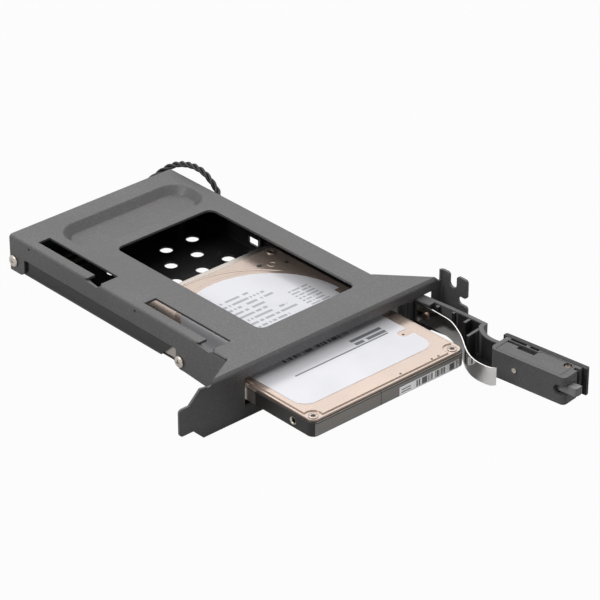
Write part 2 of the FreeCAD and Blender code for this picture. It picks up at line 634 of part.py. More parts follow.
def make_drive_label():
    z0 = DRIVE_Z[1]
    z1 = z0 + 0.08
    front = rounded_slab(-31.7, 28.2, -24.7, PLATTER.y + 6, 5.4, z0, z1)
    arch = rod(PLATTER + UP * z0, PLATTER + UP * z1, 31.2).common(block(-40, 40, PLATTER.y, 70, 0, 30))
    notch = rounded_slab(23.2, 32.0, -14.2, -10.4, 1.6, z0 - 1, z1 + 1)
    return join([front, arch]).cut(notch)


def make_drive_edge_label():
    return block(3.4, 31.3, DRIVE_FRONT - 0.08, DRIVE_FRONT, 6.8, 9.9)


def make_drive_board():
    return block(-29.6, 27.6, DRIVE_FRONT + 4.4, DRIVE_REAR - 48.4, DRIVE_Z[0] + 0.2, DRIVE_Z[0] + 1.2)


def make_drive_plug():
    deep = DRIVE_REAR - POCKET_DEEP
    body = block(-25.6, 16.6, deep, deep + 0.9, 6.4, 10.9)
    tongue = block(-24.0, 15.0, deep, DRIVE_REAR - 0.5, 8.2, 9.4)
    return join([body, tongue])


save("cover_bracket", make_cover())
save("drive_tray", make_tray())
save("cover_screws", make_cover_screws())
save("backplane", make_board())
save("board_screws", make_board_screws())
save("drive_receptacle", make_receptacle())
save("data_port", make_port(-24.0, -9.0))
save("power_port", make_port(-6.0, 17.0))
save("lead_header", make_header())
save("light_lead", make_lead())
save("hinge_bracket", make_hinge_bracket())
save("hinge_pin", make_hinge_pin())
save("door_lever", opened(make_door_lever()))
save("latch_lid", opened(make_latch_lid()))
save("lid_screw", opened(make_lid_screw()))
save("spring_peg", opened(make_spring_peg()))
save("leaf_spring", opened(make_leaf_spring()))
save("leaf_rivet", opened(make_leaf_rivet()))
save("latch_slider", opened(make_latch_slider()))
save("latch_spring", opened(make_latch_spring()))
save("drive_base", make_drive_base())
save("drive_cover", make_drive_cover())
save("drive_screws", make_drive_screws())
save("drive_label", make_drive_label())
save("drive_edge_label", make_drive_edge_label())
save("drive_board", make_drive_board())
save("drive_plug", make_drive_plug())
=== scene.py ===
"""Looks of a slot-bracket drive rack: finishes, fine fittings, lead, light and camera."""

import functools
import json
import logging
import math
from dataclasses import dataclass
from enum import Enum
from typing import Any, Callable, NamedTuple, Optional, Sequence, Union

import bmesh
import bpy
from mathutils import Matrix, Vector

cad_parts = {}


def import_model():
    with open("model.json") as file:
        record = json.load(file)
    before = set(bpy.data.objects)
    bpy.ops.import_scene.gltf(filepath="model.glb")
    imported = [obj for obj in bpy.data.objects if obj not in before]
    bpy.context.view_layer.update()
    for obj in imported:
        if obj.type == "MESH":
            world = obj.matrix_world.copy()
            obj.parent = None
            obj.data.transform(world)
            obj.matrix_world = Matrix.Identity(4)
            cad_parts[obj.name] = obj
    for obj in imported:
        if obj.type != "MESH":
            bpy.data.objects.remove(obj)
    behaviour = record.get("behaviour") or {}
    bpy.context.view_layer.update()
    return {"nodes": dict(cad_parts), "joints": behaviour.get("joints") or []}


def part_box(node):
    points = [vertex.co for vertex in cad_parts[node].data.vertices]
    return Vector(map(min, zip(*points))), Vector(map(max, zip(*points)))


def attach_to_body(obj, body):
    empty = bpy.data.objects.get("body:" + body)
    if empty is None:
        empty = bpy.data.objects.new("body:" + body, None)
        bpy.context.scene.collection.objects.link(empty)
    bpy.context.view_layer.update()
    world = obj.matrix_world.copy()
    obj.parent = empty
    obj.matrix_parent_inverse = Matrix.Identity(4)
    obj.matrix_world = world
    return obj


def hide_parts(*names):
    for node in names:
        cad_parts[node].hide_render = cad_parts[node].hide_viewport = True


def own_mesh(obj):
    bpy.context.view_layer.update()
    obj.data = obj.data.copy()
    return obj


BMesh = bmesh.types.BMesh
Vert = bmesh.types.BMVert
Material = bpy.types.Material
Mesh = bpy.types.Mesh
Node = bpy.types.Node
Piece = bpy.types.Object
Socket = bpy.types.NodeSocket
Solids = dict[str, Piece]
Span = tuple[float, float]
Triple = tuple[float, float, float]
Number = Union["Value", float]

LOG = logging.getLogger("drive_rack")
MM = 0.001
ROUND = 2 * math.pi
X, Y, Z = range(3)
ONES = (1.0, 1.0, 1.0)

# How many layers the noise of grain and smears has
FINE = 3.0

# Points closer than these, in metres, are one point: in new meshes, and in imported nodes
MERGE = 1e-7
SOLID_MERGE = 1e-6

# The door's own frame as it stands in the photograph; the hinge is in millimetres
HINGE_X = 40.6
HINGE_Y = 2.3
OPEN_TURN = math.radians(97.0 - 180.0)
ALONG = Vector((math.cos(OPEN_TURN), math.sin(OPEN_TURN), 0))
OUTWARD = Vector((-math.sin(OPEN_TURN), math.cos(OPEN_TURN), 0))

# How far a pan head's seat lies below its crown, as a share of its radius
PAN_SEAT = 0.58

# The column of random values that the ragged ends of printed rows take
RAGGED = 5.0

# The contacts of a drive's plug and of its socket: the first one's inset in millimetres, and then
# how many they are, their pitch and the size of one
PLUG_INSET = 3.0
PLUG_ROW = (22, 1.72, (0.6, 4.2, 0.1))


class Body(Enum):
    """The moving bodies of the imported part."""

    FRAME = "frame"
    DOOR = "door"
    LATCH = "latch"
    DRIVE = "drive"


class Recess(Enum):
    """The driver recess of a screw head."""

    CROSS = "cross"
    STAR = "star"


def operation(name: str) -> Callable[["Value", Number], "Value"]:
    """A method that runs one Math operation of a value with another."""
    def method(self: "Value", other: Number) -> "Value":
        """Add the Math node."""
        return self.apply(name, other)
    return method


class Value:
    """A socket that carries one number; arithmetic on it adds Math nodes."""

    __add__ = __radd__ = operation("ADD")
    __sub__ = operation("SUBTRACT")
    __mul__ = operation("MULTIPLY")
    __truediv__ = operation("DIVIDE")
    # One where the value is over or under a limit, else zero
    above = operation("GREATER_THAN")
    below = operation("LESS_THAN")

    def __init__(self, nodes: "Nodes", socket: Socket) -> None:
        """Wrap a socket of a node tree."""
        self.nodes = nodes
        self.socket = socket

    def apply(self, name: str, *others: Number) -> "Value":
        """Run one Math operation with this value first."""
        made = self.nodes.node("ShaderNodeMath", dict(enumerate((self, *others))), operation=name)
        return Value(self.nodes, made.outputs[0])

    def between(self, low: float, high: float) -> "Value":
        """One inside a span, else zero."""
        return self.above(low) * self.below(high)

    def capped(self) -> "Value":
        """The value, at most one."""
        return self.apply("MINIMUM", 1.0)

    def rise(self, low: float, high: float) -> "Value":
        """A smooth step from zero at low to one at high."""
        made = self.nodes.node(
            "ShaderNodeMapRange", {"Value": self, "From Min": low, "From Max": high},
            interpolation_type="SMOOTHSTEP")
        return Value(self.nodes, made.outputs["Result"])


class Nodes:
    """A node tree with one method that adds any node."""

    def __init__(self, tree: bpy.types.NodeTree) -> None:
        """Start from an empty tree."""
        self.tree = tree
        tree.nodes.clear()

    def node(self, kind: str, inputs: Optional[dict[Any, Any]] = None,
             **settings: Any) -> Node:
        """Add a node.

        Args:
            kind: the node's type.
            inputs: values or links by socket name or number.
            settings: properties, which are set before the inputs.

        Returns:
            The new node.
        """
        made = self.tree.nodes.new(kind)
        for key, value in settings.items():
            setattr(made, key, value)
        for key, value in (inputs or {}).items():
            self.feed(made.inputs[key], value)
        return made

    def feed(self, socket: Socket, value: Any) -> None:
        """Link a socket to a value or to a node's first output, or set it to something plain."""
        if isinstance(value, Value):
            value = value.socket
        elif isinstance(value, Node):
            value = value.outputs[0]
        if isinstance(value, Socket):
            self.tree.links.new(value, socket)
        elif socket.type == "RGBA" and len(value) == 3:
            socket.default_value = (*value, 1.0)
        else:
            socket.default_value = value

    def rays(self) -> tuple[Value, Value]:
        """One for rays from the camera, and one for rays reflected or let through."""
        path = self.node("ShaderNodeLightPath").outputs
        seen, glossy, clear = (Value(self, path[f"Is {kind} Ray"])
                               for kind in ("Camera", "Glossy", "Transmission"))
        return seen, glossy.apply("MAXIMUM", clear)


class Shading(Nodes):
    """The node tree of one material."""

    def __init__(self, name: str) -> None:
        """Make the material and empty it."""
        self.material = bpy.data.materials.new(name)
        self.material.use_nodes = True
        super().__init__(self.material.node_tree)
        self.place = self.node("ShaderNodeTexCoord").outputs["Object"]

    def position(self) -> tuple[Value, Value, Value]:
        """Object coordinates in millimetres."""
        scaled = self.node(
            "ShaderNodeVectorMath", {0: self.place, "Scale": 1 / MM}, operation="SCALE")
        split = self.node("ShaderNodeSeparateXYZ", {0: scaled})
        return tuple(Value(self, out) for out in split.outputs)

    def noise(self, size: float, detail: float = 2.0, stretch: Triple = ONES) -> Value:
        """Noise over the surface.

        Args:
            size: the size of its features in millimetres.
            detail: how many finer layers it has.
            stretch: how much longer the features are along each axis.

        Returns:
            A value near one half, from zero to one.
        """
        scale = tuple(1 / (size * MM * along) for along in stretch)
        mapping = self.node("ShaderNodeMapping", {"Vector": self.place, "Scale": scale})
        made = self.node(
            "ShaderNodeTexNoise", {"Vector": mapping, "Scale": 1.0, "Detail": detail})
        return Value(self, made.outputs["Fac"])

    def mix(self, factor: Number, first: Any, second: Any) -> Socket:
        """Mix two colours."""
        made = self.node("ShaderNodeMix", {0: factor, 6: first, 7: second}, data_type="RGBA")
        return made.outputs[2]

    def cell(self, x: Number, y: Number) -> Value:
        """A random value for each pair of whole numbers."""
        joined = self.node("ShaderNodeCombineXYZ", {0: x, 1: y, 2: 0.0})
        made = self.node("ShaderNodeTexWhiteNoise", {"Vector": joined}, noise_dimensions="3D")
        return Value(self, made.outputs["Value"])

    def normal(self, edge: float, height: Value, depth: float) -> Node:
        """A normal that rounds sharp edges and follows a height map; sizes in millimetres."""
        soft = self.node("ShaderNodeBevel", {"Radius": edge * MM}, samples=4)
        return self.node("ShaderNodeBump", {
            "Strength": 1.0, "Distance": depth * MM, "Height": height, "Normal": soft})

    def end(self, shader: Node) -> Material:
        """End the tree in a shader and return the material."""
        self.node("ShaderNodeOutputMaterial", {"Surface": shader})
        return self.material


@dataclass(frozen=True)
class Finish:
    """A finish with grain, slow variation and softened edges; sizes are in millimetres."""

    name: str
    color: Triple
    fleck: Triple
    roughness: float
    metallic: float = 0.0
    grain: float = 0.3
    depth: float = 0.004
    patch: float = 14.0
    stretch: Triple = ONES
    edge: float = 0.18
    specular: float = 0.5
    fleck_span: Span = (0.5, 0.75)
    dull_span: Span = (0.35, 0.7)
    dull_share: float = 0.5
    dull: float = 0.86
    smear: float = 0.12
    smear_size: float = 0.6

    def base(self, shading: Shading) -> Socket:
        """The colour: flecks of the grain, and slow darker patches."""
        fleck = shading.noise(self.grain, FINE, self.stretch).rise(*self.fleck_span)
        slow = shading.noise(self.patch).rise(*self.dull_span)
        grained = shading.mix(fleck, self.color, self.fleck)
        dulled = tuple(self.dull * c for c in self.color)
        return shading.mix(slow * self.dull_share, grained, dulled)

    def shine(self, shading: Shading) -> Value:
        """The roughness, uneven in slow smears."""
        uneven = shading.noise(self.patch * self.smear_size, FINE, self.stretch)
        return uneven * self.smear + (self.roughness - self.smear / 2)

    def metal(self, shading: Shading) -> Number:
        """How far the surface is bare metal."""
        return self.metallic

    def material(self) -> Material:
        """Build the material."""
        shading = Shading(self.name)
        grain = shading.noise(self.grain, stretch=self.stretch)
        return shading.end(shading.node("ShaderNodeBsdfPrincipled", {
            "Base Color": self.base(shading), "Roughness": self.shine(shading),
            "Metallic": self.metal(shading), "Specular IOR Level": self.specular,
            "Normal": shading.normal(self.edge, grain, self.depth)}))


@dataclass(frozen=True)
class CoatedCasting(Finish):
    """A casting with a dark coat on its front part and bare metal behind it."""

    bare: Triple = (0.5, 0.46, 0.42)
    front: Triple = (0.34, 0.318, 0.298)
    front_metal: float = 0.4
    front_face: float = -32.6
    coat_edge: Span = (-5.0, -4.1)
    ragged: float = 0.8
    ragged_size: float = 1.5
    front_seam: Span = (-5.08, -4.72)
    side_seam: Span = (-26.28, -25.92)
    lid_line: Span = (11.2, 11.6)
    seam_dark: float = 0.8

    def bare_part(self, shading: Shading) -> Value:
        """One behind the edge of the coat, with a slightly ragged line."""
        _, y, _ = shading.position()
        wander = shading.noise(self.ragged_size) * self.ragged
        return (y + wander).rise(*self.coat_edge)

    def base(self, shading: Shading) -> Socket:
        """Coat colour in front and metal behind, with dark seams and a dark line at the lid."""
        x, y, z = shading.position()
        coated = shading.mix(y.below(self.front_face), super().base(shading), self.front)
        whole = shading.mix(self.bare_part(shading), coated, self.bare)
        front = x.between(*self.front_seam) * y.below(self.front_face)
        joint = front + y.between(*self.side_seam) + z.between(*self.lid_line)
        return shading.mix(joint.capped() * self.seam_dark, whole, self.color)

    def metal(self, shading: Shading) -> Value:
        """Metal behind the coat, and a thin coat that shines through on the front."""
        _, y, _ = shading.position()
        return (self.bare_part(shading) + y.below(self.front_face) * self.front_metal).capped()


class Mark(NamedTuple):
    """A block of plain marks in place of print; sizes in millimetres, the rest as shares."""

    x: Span
    y: Span
    ink: float = 0.85
    bar: float = 0.0
    gaps: float = 0.27
    row: float = 0.0
    pitch: float = 0.0
    fill: float = 1.0
    ragged: float = 0.0

    def cover(self, shading: Shading, x: Value, y: Value) -> Value:
        """Lay the ink of a plain block, of one row of upright bars, or of rows of broken bars.

        Args:
            shading: the material's nodes.
            x: the coordinate along a row.
            y: the coordinate across the rows.

        Returns:
            The share of ink at each place.
        """
        row, end = self.row, x
        shape = y.between(*self.y)
        if self.pitch:
            row = (y / self.pitch).apply("FLOOR")
            shape = shape * (y / self.pitch).apply("FRACT").below(self.fill)
        if self.bar:
            shape = shape * shading.cell((x / self.bar).apply("FLOOR"), row).above(self.gaps)
        if self.ragged:
            end = x + shading.cell(RAGGED, row) * self.ragged
        return shape * x.above(self.x[0]) * end.below(self.x[1]) * self.ink


@dataclass(frozen=True)
class PrintedLabel(Finish):
    """A label with plain marks, laid out along X and another axis."""

    ink: Triple = (0.1, 0.105, 0.12)
    up: int = Y
    marks: tuple[Mark, ...] = ()

    def base(self, shading: Shading) -> Socket:
        """Paper colour with the marks."""
        place = shading.position()
        laid = sum(mark.cover(shading, place[X], place[self.up]) for mark in self.marks)
        return shading.mix(laid.capped(), super().base(shading), self.ink)


@dataclass(frozen=True)
class SolderMask(Finish):
    """Circuit board lacquer with faint copper tracks under it."""

    track: Triple = (0.02, 0.06, 0.035)
    lane: float = 0.8
    lane_fill: float = 0.45
    run_size: float = 6.0
    run_stretch: Triple = (4.0, 1.0, 1.0)
    run_from: float = 0.52

    def base(self, shading: Shading) -> Socket:
        """Board colour with runs of tracks along its length."""
        _, y, z = shading.position()
        lane = ((z + y) / self.lane).apply("FRACT").below(self.lane_fill)
        run = shading.noise(self.run_size, detail=1.0, stretch=self.run_stretch)
        return shading.mix(lane * run.above(self.run_from), super().base(shading), self.track)


class Zone(NamedTuple):
    """A block in the door's own frame, in millimetres."""

    along: Span
    across: Span
    up: Span


@dataclass(frozen=True)
class DoorMoulding(Finish):
    """A door moulding with another colour in some zones, such as painted shade in its recesses."""

    # Near black by default, for painted shade in the door's recesses
    zone_color: Triple = (0.02, 0.02, 0.021)
    zones: tuple[Zone, ...] = ()

    def base(self, shading: Shading) -> Socket:
        """The colour, changed inside each zone."""
        x, y, z = shading.position()
        x, y = x - HINGE_X, y - HINGE_Y
        along = x * ALONG.x + y * ALONG.y
        across = x * OUTWARD.x + y * OUTWARD.y
        color = super().base(shading)
        for zone in self.zones:
            inside = along.between(*zone.along) * across.between(*zone.across)
            color = shading.mix(inside * z.between(*zone.up), color, self.zone_color)
        return color


def grey(level: float) -> Triple:
    """A colour without hue."""
    return (level, level, level)


POWDER_COAT = Finish(
    "charcoal_powder_coat", (0.112, 0.108, 0.109), (0.19, 0.184, 0.185), 0.42, grain=0.5,
    depth=0.045, patch=30.0, edge=0.45, specular=0.6, fleck_span=(0.45, 0.8))
TRAY_PAINT = Finish(
    "satin_black_paint", (0.015, 0.015, 0.016), (0.024, 0.024, 0.025), 0.25, grain=0.4,
    patch=16.0, edge=0.2)
# Painted shade: the core side of the lever's trough and its latch box's hollow are near black
DOOR_PLASTIC = DoorMoulding(
    "textured_black_plastic", (0.12, 0.12, 0.122), (0.2, 0.2, 0.203), 0.46, grain=0.4,
    depth=0.03, patch=9.0, edge=0.3,
    zones=(Zone((2.0, 31.0), (-12.0, 3.5), (5.0, 14.55)),
           Zone((31.0, 42.2), (-12.0, -2.6), (5.0, 14.55)),
           Zone((44.0, 57.5), (-7.0, 1.3), (5.0, 14.2))))
# The bolt is a lighter grey than the thumb plate
LATCH_PLASTIC = DoorMoulding(
    "charcoal_plastic", (0.055, 0.055, 0.056), (0.1, 0.1, 0.102), 0.46, grain=0.4, depth=0.02,
    patch=9.0, edge=0.28, specular=0.2, zone_color=grey(0.4),
    zones=(Zone((65.0, 78.0), (-7.0, -2.0), (8.0, 12.0)),))
PORT_PLASTIC = Finish(
    "black_port_plastic", grey(0.018), grey(0.026), 0.42, grain=0.2, depth=0.006, edge=0.12)
HEADER_PLASTIC = Finish(
    "ivory_plastic", (0.7, 0.67, 0.58), (0.74, 0.72, 0.64), 0.45, depth=0.006, edge=0.15)
NICKEL = Finish(
    "nickel_plate", (0.64, 0.59, 0.53), (0.54, 0.49, 0.43), 0.2, metallic=1.0, grain=0.25,
    patch=2.0, edge=0.12)
SPRING_STEEL = Finish(
    "polished_spring_steel", (0.72, 0.7, 0.68), (0.66, 0.64, 0.62), 0.13, metallic=1.0,
    grain=0.5, depth=0.002, patch=5.0, stretch=(1.0, 6.0, 0.4), edge=0.06)
WARM_STEEL = Finish(
    "warm_screw_steel", (0.52, 0.45, 0.4), (0.46, 0.4, 0.35), 0.3, metallic=1.0, grain=0.2,
    depth=0.002, patch=2.0, edge=0.12, smear=0.04)
BRONZE = Finish(
    "dulled_rivet", (0.2, 0.15, 0.12), (0.3, 0.24, 0.2), 0.36, metallic=1.0, grain=0.2,
    patch=2.0, edge=0.1)
ZINC = Finish(
    "zinc_plate", (0.42, 0.42, 0.41), (0.5, 0.5, 0.49), 0.36, metallic=1.0, grain=0.6,
    patch=5.0, edge=0.15)
DRIVE_CASTING = CoatedCasting(
    "coated_casting", (0.024, 0.023, 0.022), (0.04, 0.037, 0.034), 0.36, grain=0.25,
    depth=0.01, patch=12.0, edge=0.25)
DRIVE_LID = Finish(
    "satin_steel_lid", (0.56, 0.455, 0.392), (0.5, 0.405, 0.35), 0.22, metallic=0.72,
    depth=0.0002, patch=18.0, edge=0.2, smear=0.03)
# Dark plugs of the lid, and painted shade on the floors of the star recesses
LID_MARK = Finish(
    "dark_lid_recess", (0.05, 0.04, 0.034), (0.08, 0.065, 0.055), 0.4, metallic=0.5, grain=0.2,
    edge=0.05)
# Two blocks of fine rows, a block of bold ones, a rule line and a strip of upright bars
LABEL = PrintedLabel(
    "printed_label", (0.8, 0.8, 0.84), (0.84, 0.84, 0.88), 0.26, metallic=0.25, grain=0.4,
    depth=0.0005, patch=22.0, edge=0.03, smear=0.03, marks=(
        Mark((-22.0, 12.0), (20.3, 45.0), 0.5, bar=0.8, pitch=2.9, fill=0.44, ragged=9.0),
        Mark((15.0, 24.0), (7.6, 36.1), 0.5, bar=0.6, pitch=1.9, fill=0.45),
        Mark((8.0, 22.0), (-8.0, -3.0), bar=1.5, pitch=2.5, fill=0.62),
        Mark((-20.7, 21.7), (-8.7, -8.0)),
        Mark((-17.6, 12.0), (0.2, 2.9), bar=0.4, gaps=0.36, row=2.0)))
# A strip of upright bars and two short lines
EDGE_LABEL = PrintedLabel(
    "edge_label", grey(0.95), grey(0.96), 0.3, metallic=0.9, grain=0.4, depth=0.001, edge=0.03,
    ink=(0.03, 0.03, 0.035), up=Z, marks=(
        Mark((10.4, 30.9), (7.1, 9.6), bar=0.36, gaps=0.5, row=3.0),
        Mark((4.3, 8.6), (7.5, 7.9)), Mark((4.3, 8.6), (8.5, 8.9))))
BOARD = SolderMask(
    "board_lacquer", (0.008, 0.045, 0.022), (0.012, 0.055, 0.028), 0.32, edge=0.1)
CHIP = Finish("chip_resin", grey(0.012), grey(0.02), 0.5, grain=0.15, depth=0.006, edge=0.1)
GOLD = Finish(
    "gold_contact", (0.83, 0.6, 0.24), (0.78, 0.55, 0.2), 0.24, metallic=1.0, grain=0.2,
    depth=0.002, patch=2.0, edge=0.05)
SLEEVE = Finish(
    "black_lead_sleeve", grey(0.012), grey(0.02), 0.42, depth=0.006, patch=4.0, edge=0.05)


@functools.lru_cache(maxsize=None)
def material_of(finish: Finish) -> Material:
    """The material of a finish, made once."""
    return finish.material()


def dress(nodes: Solids, finishes: dict[str, Finish]) -> None:
    """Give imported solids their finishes."""
    for name, finish in finishes.items():
        nodes[name].material_slots[0].material = material_of(finish)
        LOG.info("dressed %s in %s", name, finish.name)


def shown(name: str, data: Any) -> Piece:
    """Put an object with the given data in the scene."""
    made = bpy.data.objects.new(name, data)
    bpy.context.scene.collection.objects.link(made)
    return made


def attach(name: str, mesh: Mesh, finish: Finish, body: Body,
           replaced: Sequence[str] = ()) -> Piece:
    """Put a mesh in the scene as a piece that rides on a body.

    Args:
        name: the piece's name.
        mesh: its mesh, already in place.
        finish: what it is made of.
        body: the body that carries it.
        replaced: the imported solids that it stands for.

    Returns:
        The new piece.
    """
    mesh.name = name
    mesh.materials.clear()
    mesh.materials.append(material_of(finish))
    piece = shown(name, mesh)
    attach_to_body(piece, body.value)
    if replaced:
        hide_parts(*replaced)
    LOG.info("piece %s rides on %s", name, body.value)
    return piece


def plain_mesh(piece: Piece) -> Mesh:
    """Evaluate an object with its modifiers, remove it, and return the plain mesh."""
    bpy.context.view_layer.update()
    graph = bpy.context.evaluated_depsgraph_get()
    mesh = bpy.data.meshes.new_from_object(piece.evaluated_get(graph))
    bpy.data.objects.remove(piece)
    return mesh


def copied(node: Piece) -> BMesh:
    """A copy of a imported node's mesh, which may be changed."""
    copy = bmesh.new()
    copy.from_mesh(node.data)
    return copy


def finished(mesh: BMesh, smooth: bool = True) -> Mesh:
    """Merge doubles, turn faces outward and write a mesh."""
    bmesh.ops.remove_doubles(mesh, verts=mesh.verts, dist=MERGE)
    bmesh.ops.recalc_face_normals(mesh, faces=mesh.faces)
    for face in mesh.faces:
        face.smooth = smooth
    made = bpy.data.meshes.new("made")
    mesh.to_mesh(made)
    mesh.free()
    return made


def carved(body: Mesh, cutter: BMesh) -> Mesh:
    """Cut a flat-faced shape out of a mesh."""
    piece = shown("carved", body)
    tool = shown("cutter", finished(cutter, False))
    modifier = piece.modifiers.new("carve", "BOOLEAN")
    modifier.operation = "DIFFERENCE"
    modifier.object = tool
    result = plain_mesh(piece)
    bpy.data.objects.remove(tool)
    return result


def circle(steps: int) -> list[Span]:
    """Points of a unit circle."""
    angles = [ROUND * i / steps for i in range(steps)]
    return [(math.cos(angle), math.sin(angle)) for angle in angles]


def bridge(mesh: BMesh, rings: Sequence[Sequence[Vert]], caps: bool = True) -> None:
    """Join rings of points by faces, and close both ends; a ring may be a single point."""
    for low, high in zip(rings, rings[1:]):
        steps = max(len(low), len(high))
        for i in range(steps):
            j = (i + 1) % steps
            around = ((low, i), (low, j), (high, j), (high, i))
            mesh.faces.new(dict.fromkeys(ring[k % len(ring)] for ring, k in around))
    if caps:
        mesh.faces.new(rings[0])
        mesh.faces.new(rings[-1])


def turned(profile: Sequence[Span], steps: int = 36) -> BMesh:
    """Turn a profile of (radius, height) points about Z; ends on the axis close it."""
    mesh = bmesh.new()
    rings = []
    for radius, height in profile:
        ring = circle(steps) if radius else [(0.0, 0.0)]
        rings.append([mesh.verts.new((radius * c, radius * s, height)) for c, s in ring])
    bridge(mesh, rings, caps=False)
    return mesh


def islands(node: Piece) -> list[tuple[Vector, Vector]]:
    """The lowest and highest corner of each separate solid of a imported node."""
    copy = copied(node)
    bmesh.ops.remove_doubles(copy, verts=copy.verts, dist=SOLID_MERGE)
    left = set(copy.verts)
    found = []
    while left:
        # The group grows while the loop walks along it
        group = [left.pop()]
        for vert in group:
            near = {edge.other_vert(vert) for edge in vert.link_edges} & left
            left -= near
            group.extend(near)
        axes = list(zip(*(vert.co for vert in group)))
        found.append((Vector([min(axis) for axis in axes]), Vector([max(axis) for axis in axes])))
    copy.free()
    return sorted(found, key=lambda pair: tuple(round(c, 5) for c in pair[0]))


class GeometryRule(Nodes):
    """A Geometry Nodes tree with named inputs, which makes one plain mesh."""

    def __init__(self, name: str) -> None:
        """Make the tree with its geometry sockets and its material."""
        super().__init__(bpy.data.node_groups.new(name, "GeometryNodeTree"))
        self.entry = self.node("NodeGroupInput")
        self.identifiers: dict[str, str] = {}
        self.declare("Geometry", "Geometry", "OUTPUT")
        self.points, self.material = self.inputs({"Geometry": "Geometry", "Material": "Material"})

    def declare(self, name: str, kind: str, way: str) -> str:
        """Add a socket to the tree's interface and return its identifier."""
        socket_type = f"NodeSocket{kind}"
        return self.tree.interface.new_socket(name, in_out=way, socket_type=socket_type).identifier

    def inputs(self, kinds: dict[str, str]) -> list[Socket]:
        """Add named inputs and return the sockets that carry them."""
        for name, kind in kinds.items():
            self.identifiers[name] = self.declare(name, kind, "INPUT")
        return [self.entry.outputs[name] for name in kinds]

    def end(self, last: Node) -> "GeometryRule":
        """Realize the instances, set the material and end the tree."""
        real = self.node("GeometryNodeRealizeInstances", {0: last})
        coated = self.node(
            "GeometryNodeSetMaterial", {"Geometry": real, "Material": self.material})
        self.node("NodeGroupOutput", {0: coated})
        return self

    def mesh(self, finish: Finish, values: dict[str, Any], base: Optional[Mesh] = None) -> Mesh:
        """Run the tree.

        Args:
            finish: what the result is made of.
            values: the value of each other named input.
            base: the mesh that the tree starts from, if it needs one.

        Returns:
            The result as a plain mesh.
        """
        piece = shown(self.tree.name, base or bpy.data.meshes.new("base"))
        modifier = piece.modifiers.new("rule", "NODES")
        modifier.node_group = self.tree
        for name, value in {"Material": material_of(finish), **values}.items():
            modifier[self.identifiers[name]] = value
        return plain_mesh(piece)


def placing_rule() -> GeometryRule:
    """A tree that puts a template on each point, turned to the point's outward direction."""
    rule = GeometryRule("place_on_points")
    template, scale = rule.inputs({"Template": "Object", "Scale": "Float"})
    info = rule.node("GeometryNodeObjectInfo", {"Object": template})
    outward = rule.node(
        "GeometryNodeInputNamedAttribute", {"Name": "outward"}, data_type="FLOAT_VECTOR")
    turn = rule.node("FunctionNodeAlignRotationToVector", {"Vector": outward}, axis="Z")
    return rule.end(rule.node("GeometryNodeInstanceOnPoints", {
        "Points": rule.points, "Instance": info.outputs["Geometry"], "Rotation": turn,
        "Scale": scale}))


def row_rule() -> GeometryRule:
    """A tree that repeats a small bar along a line."""
    rule = GeometryRule("row_of_bars")
    count, start, pitch, size = rule.inputs(
        {"Count": "Int", "Start": "Vector", "Pitch": "Vector", "Size": "Vector"})
    line = rule.node(
        "GeometryNodeMeshLine", {"Count": count, "Start Location": start, "Offset": pitch})
    bar = rule.node("GeometryNodeMeshCube", {"Size": size})
    return rule.end(rule.node("GeometryNodeInstanceOnPoints", {"Points": line, "Instance": bar}))


def coil_rule() -> GeometryRule:
    """A tree that winds a wire into a coil along a direction."""
    rule = GeometryRule("wound_coil")
    turns, radius, wire, length, start, along = rule.inputs(
        {"Turns": "Float", "Coil Radius": "Float", "Wire Radius": "Float", "Length": "Float",
         "Start": "Vector", "Along": "Vector"})
    spiral = rule.node("GeometryNodeCurveSpiral", {
        "Resolution": 28, "Rotations": turns, "Start Radius": radius, "End Radius": radius,
        "Height": length})
    ring = rule.node("GeometryNodeCurvePrimitiveCircle", {"Resolution": 8, "Radius": wire})
    tube = rule.node(
        "GeometryNodeCurveToMesh", {"Curve": spiral, "Profile Curve": ring, "Fill Caps": True})
    turn = rule.node("FunctionNodeAlignRotationToVector", {"Vector": along}, axis="Z")
    return rule.end(rule.node(
        "GeometryNodeTransform", {"Geometry": tube, "Translation": start, "Rotation": turn}))


